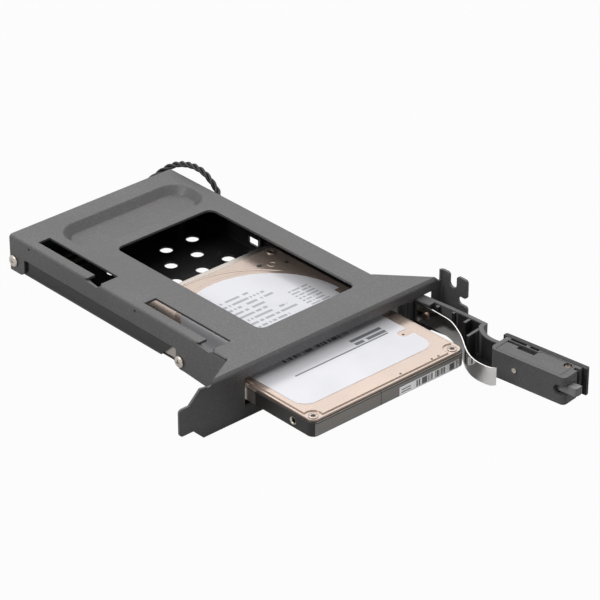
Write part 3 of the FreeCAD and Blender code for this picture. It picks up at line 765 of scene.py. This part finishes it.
class Workshop:
    """The shared rules and screw heads, each made once."""

    def __init__(self) -> None:
        """Build the node trees and the two screw heads."""
        self.placing = placing_rule()
        self.row = row_rule()
        self.coil = coil_rule()
        self.shapes = {Recess.CROSS: self.cross_head(), Recess.STAR: self.star_head()}

    @staticmethod
    def cross_head() -> Mesh:
        """Pan head of unit radius with a tapered cross recess."""
        rim, dome = 0.24, 0.36
        arc = [(math.cos(a), rim + dome * math.sin(a)) for a in (0.0, 0.25, 0.55, 0.9, 1.25)]
        head = finished(turned([(0, 0), (1, 0), *arc, (0, rim + dome)]))
        middle, slim = 0.5, 0.26
        flat = Matrix.Translation((0, 0, middle)) @ Matrix.Diagonal((1.0, slim, 1.0, 1.0))
        flat = flat @ Matrix.Rotation(math.pi / 4, 4, "Z")
        for angle in (0.0, math.pi / 2):
            arm = bmesh.new()
            bmesh.ops.create_cone(
                arm, cap_ends=True, segments=4, radius1=0.32, radius2=0.78, depth=0.56,
                matrix=Matrix.Rotation(angle, 4, "Z") @ flat)
            head = carved(head, arm)
        return head

    @staticmethod
    def star_head() -> Mesh:
        """Low flat head of unit radius with a six-lobed recess."""
        head = finished(turned([(0, 0), (1, 0), (1, 0.14), (0.94, 0.2), (0, 0.2)]))
        lobes, steps, middle, swing = 6, 48, 0.42, 0.07
        rim = []
        for i, (c, s) in enumerate(circle(steps)):
            radius = middle + swing * math.cos(lobes * ROUND * i / steps)
            rim.append((radius * c, radius * s))
        cutter = bmesh.new()
        bridge(cutter, [[cutter.verts.new((x, y, z)) for x, y in rim] for z in (0.06, 0.5)])
        return carved(head, cutter)

    def heads(self, name: str, nodes: Solids, screws: str, axis: int, body: Body,
              recess: Recess = Recess.CROSS,
              finish: Finish = NICKEL) -> tuple[list[Vector], float]:
        """Put real heads in place of plain screws; those along X face away from the middle.

        Args:
            name: the name of the new piece.
            nodes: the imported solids.
            screws: the node whose solids are the plain screws.
            axis: the axis that the screws lie along.
            body: the body that carries them.
            recess: the shape of the driver recess.
            finish: what the heads are made of.

        Returns:
            Where each head sits, and the radius of a head, in metres.
        """
        spots, outward, radius = [], [], 0.0
        across = Y if axis == X else X
        for low, high in islands(nodes[screws]):
            radius = (high[across] - low[across]) / 2
            spot, facing = (low + high) / 2, Vector((0, 0, 0))
            facing[axis] = -1.0 if axis == X and low.x < 0 else 1.0
            crown = high[axis] if facing[axis] > 0 else low[axis]
            seat = crown - facing[axis] * PAN_SEAT * radius
            spot[axis] = low[axis] if recess is Recess.STAR else seat
            spots.append(spot)
            outward.append(facing)
        base = bpy.data.meshes.new(name + "_points")
        base.from_pydata(spots, [], [])
        layer = base.attributes.new("outward", "FLOAT_VECTOR", "POINT")
        for item, facing in zip(layer.data, outward):
            item.vector = facing
        template = bpy.data.objects.new(name + "_head", self.shapes[recess])
        mesh = self.placing.mesh(finish, {"Template": template, "Scale": radius}, base)
        bpy.data.objects.remove(template)
        attach(name, mesh, finish, body, [screws])
        return spots, radius

    def contacts(self, name: str, body: Body, start: Triple, count: int, pitch: float,
                 size: Triple) -> None:
        """Add a row of gold contacts along X; all lengths are in millimetres."""
        lengths = {"Start": start, "Pitch": (pitch, 0, 0), "Size": size}
        values = {key: [c * MM for c in triple] for key, triple in lengths.items()}
        mesh = self.row.mesh(GOLD, {"Count": count, **values})
        attach(name, mesh, GOLD, body)


def add_chips(name: str, body: Body, blocks: Sequence[tuple[Triple, Triple]],
              bevel: float) -> None:
    """Add chips with bevelled edges, each with its middle and its size in millimetres."""
    mesh = bmesh.new()
    for middle, size in blocks:
        place = Matrix.Translation([c * MM for c in middle])
        shape = Matrix.Diagonal([*(c * MM for c in size), 1.0])
        grown = bmesh.ops.create_cube(mesh, size=1.0, matrix=place @ shape)
        edges = list({edge for vert in grown["verts"] for edge in vert.link_edges})
        bmesh.ops.bevel(
            mesh, geom=edges, offset=bevel * MM, segments=2, profile=0.5, affect="EDGES")
    attach(name, finished(mesh, False), CHIP, body)


@dataclass
class SheetBody:
    """The folded cover with its bracket, the vented tray and their screws."""

    cover: Finish = POWDER_COAT
    tray: Finish = TRAY_PAINT

    def build(self, nodes: Solids, workshop: Workshop) -> None:
        """Dress the sheet pieces and put real heads on the screws of the ears."""
        dress(nodes, {"cover_bracket": self.cover, "drive_tray": self.tray})
        workshop.heads("ear_screw_heads", nodes, "cover_screws", X, Body.FRAME)


@dataclass
class RearBoard:
    """The board at the rear with its sockets, contacts and small parts; sizes in millimetres."""

    ports: tuple[tuple[str, int], ...] = (("data_port", 7), ("power_port", 15))
    port_inset: float = 4.0
    port_ends: float = 7.2
    port_depth: float = 3.4
    port_level: float = 8.66
    port_contact: Triple = (0.62, 4.6, 0.1)
    socket_depth: float = 2.6
    socket_level: float = 7.84
    chip_bevel: float = 0.1
    chips: tuple[tuple[float, ...], ...] = (
        (-20.0, 15.2, 5.0, 3.2, 1.2), (-10.5, 15.4, 2.9, 1.6, 1.0), (2.0, 15.2, 2.9, 1.6, 1.0),
        (14.0, 15.2, 1.6, 0.9, 0.5), (17.5, 15.2, 1.6, 0.9, 0.5))

    def build(self, nodes: Solids, workshop: Workshop) -> None:
        """Dress the board and its sockets, and add contacts, screws and chips."""
        dress(nodes, {
            "backplane": BOARD, "lead_header": HEADER_PLASTIC, "drive_receptacle": PORT_PLASTIC,
            "data_port": PORT_PLASTIC, "power_port": PORT_PLASTIC})
        self.contacts(workshop)
        workshop.heads("board_screw_heads", nodes, "board_screws", Y, Body.FRAME)
        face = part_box("backplane")[1].y / MM
        add_chips("board_parts", Body.FRAME, [
            ((x, face + deep / 2, z), (wide, deep, tall)) for x, z, wide, tall, deep in self.chips],
            self.chip_bevel)

    def contacts(self, workshop: Workshop) -> None:
        """Put gold contacts on the tongues of both ports and in the drive socket."""
        for port, count in self.ports:
            low, high = (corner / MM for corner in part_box(port))
            start = (low.x + self.port_inset, high.y - self.port_depth, self.port_level)
            pitch = (high.x - low.x - self.port_ends) / (count - 1)
            workshop.contacts(
                f"{port}_contacts", Body.FRAME, start, count, pitch, self.port_contact)
        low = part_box("drive_receptacle")[0] / MM
        start = (low.x + PLUG_INSET, low.y + self.socket_depth, self.socket_level)
        workshop.contacts("socket_contacts", Body.FRAME, start, *PLUG_ROW)


@dataclass
class TwistedLead:
    """The thin lead of three twisted wires round the rear corner; sizes in millimetres."""

    radius: float = 1.2
    strands: int = 3
    lay: float = 11.0
    sides: int = 10
    steps: int = 10
    order: int = 3
    route: tuple[Triple, ...] = (
        (25.0, 121.2, 14.8), (25.0, 124.3, 14.8), (27.0, 127.5, 14.3), (30.5, 129.4, 14.1),
        (34.6, 129.2, 15.4), (38.0, 127.2, 18.2), (39.9, 123.6, 20.6), (40.3, 118.6, 22.4),
        (40.5, 113.4, 23.3), (40.6, 108.4, 22.7), (40.6, 104.2, 20.4), (40.5, 101.3, 18.1),
        (39.5, 99.2, 16.9), (37.3, 97.5, 16.3), (34.5, 97.0, 16.2))

    def build(self) -> None:
        path = self.path()
        # Three round wires that touch each other and the lead's outline
        strand = self.radius * MM / (1 + 2 / math.sqrt(3))
        mesh = bmesh.new()
        for i in range(self.strands):
            self.strand(mesh, path, strand, ROUND * i / self.strands)
        piece = attach(
            "twisted_lead", finished(mesh), SLEEVE, Body.FRAME, ["light_lead"])

    def path(self) -> list[Vector]:
        """Points read from the route's smooth spline."""
        curve = bpy.data.curves.new("lead_route", "CURVE")
        curve.dimensions = "3D"
        curve.resolution_u = self.steps
        spline = curve.splines.new("NURBS")
        spline.points.add(len(self.route) - 1)
        for point, place in zip(spline.points, self.route):
            point.co = (*(c * MM for c in place), 1.0)
        spline.order_u = self.order
        spline.use_endpoint_u = True
        mesh = plain_mesh(shown("lead_route", curve))
        return [v.co.copy() for v in mesh.vertices]

    def strand(self, mesh: BMesh, path: Sequence[Vector], radius: float, phase: float) -> None:
        """Add one wire that winds about the path.

        Args:
            mesh: the mesh that it goes into.
            path: the points of the lead's middle line.
            radius: the wire's radius in metres.
            phase: the wire's angle at the start.
        """
        offset = self.radius * MM - radius
        normal = Vector((0, 0, 1))
        travelled = 0.0
        rings = []
        for i, point in enumerate(path):
            ahead = path[min(i + 1, len(path) - 1)] - path[max(i - 1, 0)]
            ahead.normalize()
            normal = (normal - ahead * normal.dot(ahead)).normalized()
            side = ahead.cross(normal)
            if i:
                travelled += (point - path[i - 1]).length
            angle = phase + ROUND * travelled / (self.lay * MM)
            centre = point + (normal * math.cos(angle) + side * math.sin(angle)) * offset
            rings.append([mesh.verts.new(centre + (normal * c + side * s) * radius)
                          for c, s in circle(self.sides)])
        bridge(mesh, rings)


@dataclass
class LeverDoor:
    """The lever door with its leaf, latch and latch spring; sizes in millimetres."""

    hinge_m: Vector
    leaf_keep: float = 0.62
    leaf_anchor: Triple = (3.4, 1.0, 10.0)
    leaf_crease: float = math.radians(40.0)
    lid_level: float = 14.4
    lid_deep: float = 4.0
    lid_slots: tuple[tuple[float, ...], ...] = ((44.0, 49.7, -1.2, 0.4), (49.4, 56.6, -2.6, 0.4))
    coil_turns: float = 7.0
    coil_radius: float = 1.2
    coil_wire: float = 0.25
    coil_span: Span = (44.75, 58.4)
    coil_axis: Span = (-4.65, 9.9)
    latch_travel: float = 2.5

    def build(self, nodes: Solids, workshop: Workshop) -> None:
        """Dress the door and the latch, and add the springs that move with them."""
        dress(nodes, {
            "hinge_bracket": ZINC, "hinge_pin": NICKEL, "door_lever": DOOR_PLASTIC,
            "latch_slider": LATCH_PLASTIC, "spring_peg": NICKEL, "leaf_rivet": BRONZE})
        self.leaf(nodes)
        self.open_lid(nodes)
        workshop.heads("lid_screw_head", nodes, "lid_screw", Z, Body.DOOR, finish=BRONZE)
        self.coil(workshop)

    def place(self, s: float, w: float, z: float) -> Vector:
        """A point of the door's own frame, in metres of the part's frame."""
        spot = self.hinge_m + ALONG * (s * MM) + OUTWARD * (w * MM)
        return Vector((spot.x, spot.y, z * MM))

    def leaf(self, nodes: Solids) -> None:
        """Make the leaf from a copy of its solid, with sharp edges at its creases."""
        strip = finished(copied(nodes["leaf_spring"]))
        strip.set_sharp_from_angle(angle=self.leaf_crease)
        piece = attach(
            "leaf_strip", strip, SPRING_STEEL, Body.DOOR, ["leaf_spring"])
        tuple(self.place(*self.leaf_anchor))
        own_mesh(piece)

    def open_lid(self, nodes: Solids) -> None:
        """Cut the stepped slot, which shows the hollow latch box, in a copy of the lid's solid."""
        lid = finished(copied(nodes["latch_lid"]), False)
        turn = Matrix.Rotation(OPEN_TURN, 4, "Z")
        for s0, s1, w0, w1 in self.lid_slots:
            middle = self.place((s0 + s1) / 2, (w0 + w1) / 2, self.lid_level)
            size = [c * MM for c in (s1 - s0, w1 - w0, self.lid_deep)]
            cutter = bmesh.new()
            bmesh.ops.create_cube(cutter, size=1.0, matrix=(
                Matrix.Translation(middle) @ turn @ Matrix.Diagonal([*size, 1.0])))
            lid = carved(lid, cutter)
        attach("open_lid", lid, DOOR_PLASTIC, Body.DOOR, ["latch_lid"])

    def coil(self, workshop: Workshop) -> None:
        """Wind the spring behind the bolt."""
        rear, front = self.coil_span
        length = (front - rear - 2 * self.coil_wire) * MM
        mesh = workshop.coil.mesh(ZINC, {
            "Turns": self.coil_turns, "Coil Radius": self.coil_radius * MM,
            "Wire Radius": self.coil_wire * MM, "Length": length,
            "Start": self.place(rear + self.coil_wire, *self.coil_axis), "Along": ALONG})
        piece = attach("latch_coil", mesh, ZINC, Body.LATCH, ["latch_spring"])
        tuple(self.place(front, *self.coil_axis))
        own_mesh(piece)


class Bead(NamedTuple):
    """A low bead along an arc: its middle, radius and half width in millimetres, and degrees."""

    middle: Span
    radius: float
    half: float
    span: Span = (0.0, 360.0)


@dataclass
class Drive:
    """The sliding 2.5 inch drive; sizes in millimetres."""

    lid_plate: float = 0.9
    rear_marks: float = 50.0
    lid_marks: tuple[Triple, ...] = (
        (20.9, 56.2, 1.1), (29.9, 51.9, 0.8), (6.3, -30.4, 0.45), (20.6, -30.6, 0.45),
        (23.6, -30.7, 0.45), (24.7, -12.6, 0.5))
    beads: tuple[Bead, ...] = (
        Bead((24.9, 54.2), 1.5, 0.22), Bead((-6.0, 26.0), 37.6, 0.45, (12.0, 92.0)))
    # Painted shade in each star recess: a disc's height and radius, shares of the head's radius
    star_floor: float = 0.07
    star_shade: float = 0.46
    hole_rows: Span = (-23.4, 53.2)
    hole_level: float = 9.0
    # Radius, and height over the drive's side, round the section of a hole's sleeve
    sleeve: tuple[Span, ...] = (
        (1.47, -2.0), (1.47, 0.02), (1.0584, -0.3), (1.0584, -2.0), (1.47, -2.0))
    plug_depth: float = 2.4
    plug_level: float = 8.16
    chip_up: float = 0.1
    chip_down: float = 0.15
    chip_bevel: float = 0.05
    chips: tuple[tuple[float, ...], ...] = (
        (-8.0, 6.0, 12.0, 12.0), (10.0, 2.0, 8.0, 9.0), (12.0, -14.0, 6.0, 6.0))

    def build(self, nodes: Solids, workshop: Workshop) -> None:
        """Dress the drive and add its screws, lid fittings, sleeves, contacts and chips."""
        dress(nodes, {
            "drive_base": DRIVE_CASTING, "drive_cover": DRIVE_LID, "drive_label": LABEL,
            "drive_edge_label": EDGE_LABEL, "drive_board": BOARD, "drive_plug": PORT_PLASTIC})
        self.lid_screws(nodes, workshop)
        self.lid_fittings()
        self.side_sleeves()
        low, high = (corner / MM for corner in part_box("drive_plug"))
        start = (low.x + PLUG_INSET, high.y - self.plug_depth, self.plug_level)
        workshop.contacts("drive_contacts", Body.DRIVE, start, *PLUG_ROW)
        tall = self.chip_up + self.chip_down
        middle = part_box("drive_board")[0].z / MM + self.chip_up - tall / 2
        add_chips("drive_chips", Body.DRIVE, [
            ((x, y, middle), (wide, long, tall)) for x, y, wide, long in self.chips],
            self.chip_bevel)

    def lid_screws(self, nodes: Solids, workshop: Workshop) -> None:
        """Put star-recess heads on the lid's corners, with painted shade in each recess."""
        spots, radius = workshop.heads(
            "lid_screw_heads", nodes, "drive_screws", Z, Body.DRIVE, Recess.STAR, WARM_STEEL)
        shade_discs = bmesh.new()
        rise = Vector((0, 0, self.star_floor * radius))
        for spot in spots:
            self.disc(shade_discs, spot + rise, self.star_shade * radius)
        attach("star_recesses", finished(shade_discs, False), LID_MARK, Body.DRIVE)

    def lid_fittings(self) -> None:
        """Add the lid's small plugs, its sealed ring and the low bead round the discs."""
        low, top = (corner.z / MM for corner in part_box("drive_cover"))
        plate = low + self.lid_plate
        plugs = bmesh.new()
        for x, y, radius in self.lid_marks:
            level = top if y < self.rear_marks else plate
            self.disc(plugs, Vector((x, y, level)) * MM, radius * MM)
        attach("lid_plugs", finished(plugs, False), LID_MARK, Body.DRIVE)
        raised = bmesh.new()
        for bead in self.beads:
            self.hoop(raised, bead, plate)
        attach("lid_bead", finished(raised), DRIVE_LID, Body.DRIVE)

    def side_sleeves(self) -> None:
        """Add the bare rims of the drive's side screw holes."""
        low, high = (corner.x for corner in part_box("drive_base"))
        section = [(radius * MM, height * MM) for radius, height in self.sleeve]
        sleeves = bmesh.new()
        for y in self.hole_rows:
            for x, side in ((low, -1), (high, 1)):
                ring = finished(turned(section))
                turn = Matrix.Rotation(side * math.pi / 2, 4, "Y")
                ring.transform(Matrix.Translation((x, y * MM, self.hole_level * MM)) @ turn)
                sleeves.from_mesh(ring)
        attach("side_sleeves", finished(sleeves), NICKEL, Body.DRIVE)

    @staticmethod
    def disc(mesh: BMesh, middle: Vector, radius: float) -> None:
        """Add a low round plug to a mesh; all lengths are in metres."""
        thick, proud, taper = 0.06 * MM, 0.01 * MM, 0.95
        bmesh.ops.create_cone(
            mesh, cap_ends=True, segments=24, radius1=radius, radius2=radius * taper,
            depth=thick, matrix=Matrix.Translation(middle + Vector((0, 0, proud))))

    @staticmethod
    def hoop(mesh: BMesh, bead: Bead, level: float) -> None:
        """Add a bead, half as high as wide, to a mesh at a level in millimetres."""
        first, last = bead.span
        steps, sides = max(24, int((last - first) / 2)), 12
        closed = last - first >= 360
        rings = []
        for i in range(steps if closed else steps + 1):
            angle = math.radians(first + (last - first) * i / steps)
            outward = Vector((math.cos(angle), math.sin(angle), 0))
            spot = Vector((*bead.middle, level)) + outward * bead.radius
            around = [outward * c + Vector((0, 0, s / 2)) for c, s in circle(sides)]
            rings.append([mesh.verts.new((spot + away * bead.half) * MM) for away in around])
        bridge(mesh, rings + rings[:1] if closed else rings, caps=not closed)


class SoftBox(NamedTuple):
    """A square lamp: degrees round and above the target, metres away and across, and watts."""

    name: str
    azimuth: float
    elevation: float
    distance: float
    size: float
    power: float


@dataclass
class Studio:
    """Camera, light and ground; metres and degrees unless a name says otherwise."""

    azimuth: float = -42.31
    elevation: float = 29.75
    distance: float = 1.0507
    target: Triple = (0.00675, 0.01946, 0.0198)
    lens_mm: float = 185.36
    sensor_mm: float = 36.0
    clip: Span = (0.05, 20.0)
    # A high key from behind, a side fill from the left and a weak fill from the right
    boxes: tuple[SoftBox, ...] = (
        SoftBox("key", 150.0, 68.0, 1.0, 1.6, 9.6), SoftBox("side", -100.0, 40.0, 1.2, 0.5, 4.1),
        SoftBox("front", 20.0, 25.0, 1.3, 0.7, 0.4))
    fill: float = 0.15
    mirrored_fill: float = 0.7
    # The part lies on the bracket's lower edge and the tray's rear edge, so the ground slopes
    ground_rise: float = 4.8 / 123.0
    ground_drop: float = 0.0001
    ground_half: float = 4.0
    ground_white: float = 0.97
    ground_glow: float = 0.1
    ground_color: Triple = grey(0.2)
    ground_mirrored: Triple = grey(0.85)

    def build(self) -> None:
        """Set the camera, the lamps, the world and the ground."""
        self.camera()
        self.lamps()
        self.world()
        self.ground()
        bpy.context.scene.view_settings.view_transform = "Standard"

    def aimed(self, name: str, data: Any, azimuth: float, elevation: float,
              distance: float) -> Piece:
        """Put a lamp or camera in the scene at a distance, turned to the target."""
        around, above = math.radians(azimuth), math.radians(elevation)
        flat = math.cos(above)
        away = Vector((math.sin(around) * flat, -math.cos(around) * flat, math.sin(above)))
        thing = shown(name, data)
        thing.location = Vector(self.target) + away * distance
        thing.rotation_euler = away.to_track_quat("Z", "Y").to_euler()
        return thing

    def camera(self) -> None:
        """Set the camera of the photograph's view."""
        data = bpy.data.cameras.new("camera")
        data.sensor_width = self.sensor_mm
        data.lens = self.lens_mm
        data.clip_start, data.clip_end = self.clip
        bpy.context.scene.camera = self.aimed(
            "camera", data, self.azimuth, self.elevation, self.distance)

    def lamps(self) -> None:
        """Set the soft boxes."""
        for box in self.boxes:
            data = bpy.data.lights.new(box.name, "AREA")
            data.shape = "SQUARE"
            data.size = box.size
            data.energy = box.power
            self.aimed(box.name, data, box.azimuth, box.elevation, box.distance)

    def world(self) -> None:
        """White for the camera, a little less for reflections, and a dim fill for the rest."""
        world = bpy.data.worlds.new("studio")
        world.use_nodes = True
        bpy.context.scene.world = world
        nodes = Nodes(world.node_tree)
        seen, mirrored = nodes.rays()
        strength = seen * (1 - self.fill) + mirrored * self.mirrored_fill + self.fill
        back = nodes.node("ShaderNodeBackground", {"Color": ONES, "Strength": strength})
        nodes.node("ShaderNodeOutputWorld", {"Surface": back})

    def ground(self) -> None:
        """A ground that is white to the camera and keeps a faint shadow."""
        half = self.ground_half
        plan = ((-half, -half), (half, -half), (half, half), (-half, half))
        sheet = bpy.data.meshes.new("ground")
        points = [(x, y, y * self.ground_rise - self.ground_drop) for x, y in plan]
        sheet.from_pydata(points, [], [range(len(points))])
        shading = Shading("white_ground")
        seen, mirrored = shading.rays()
        color = shading.mix(mirrored, self.ground_color, self.ground_mirrored)
        matte = shading.node("ShaderNodeBsdfDiffuse", {"Color": color})
        glow = shading.node("ShaderNodeEmission", {"Color": ONES, "Strength": 1.0})
        share = seen * self.ground_white + mirrored * self.ground_glow
        both = shading.node("ShaderNodeMixShader", {0: share, 1: matte, 2: glow})
        sheet.materials.append(shading.end(both))
        shown("ground", sheet)


def main() -> None:
    """Load the solids, dress them, add the fine pieces and set the studio."""
    logging.basicConfig(level=logging.INFO, format="%(message)s")
    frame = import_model()
    hinge = next(joint for joint in frame["joints"] if joint["name"] == "door_hinge")
    Studio().build()
    TwistedLead().build()
    workshop = Workshop()
    for assembly in (SheetBody(), RearBoard(), LeverDoor(Vector(hinge["pos_m"])), Drive()):
        assembly.build(frame["nodes"], workshop)


if __name__ == "__main__":
    main()
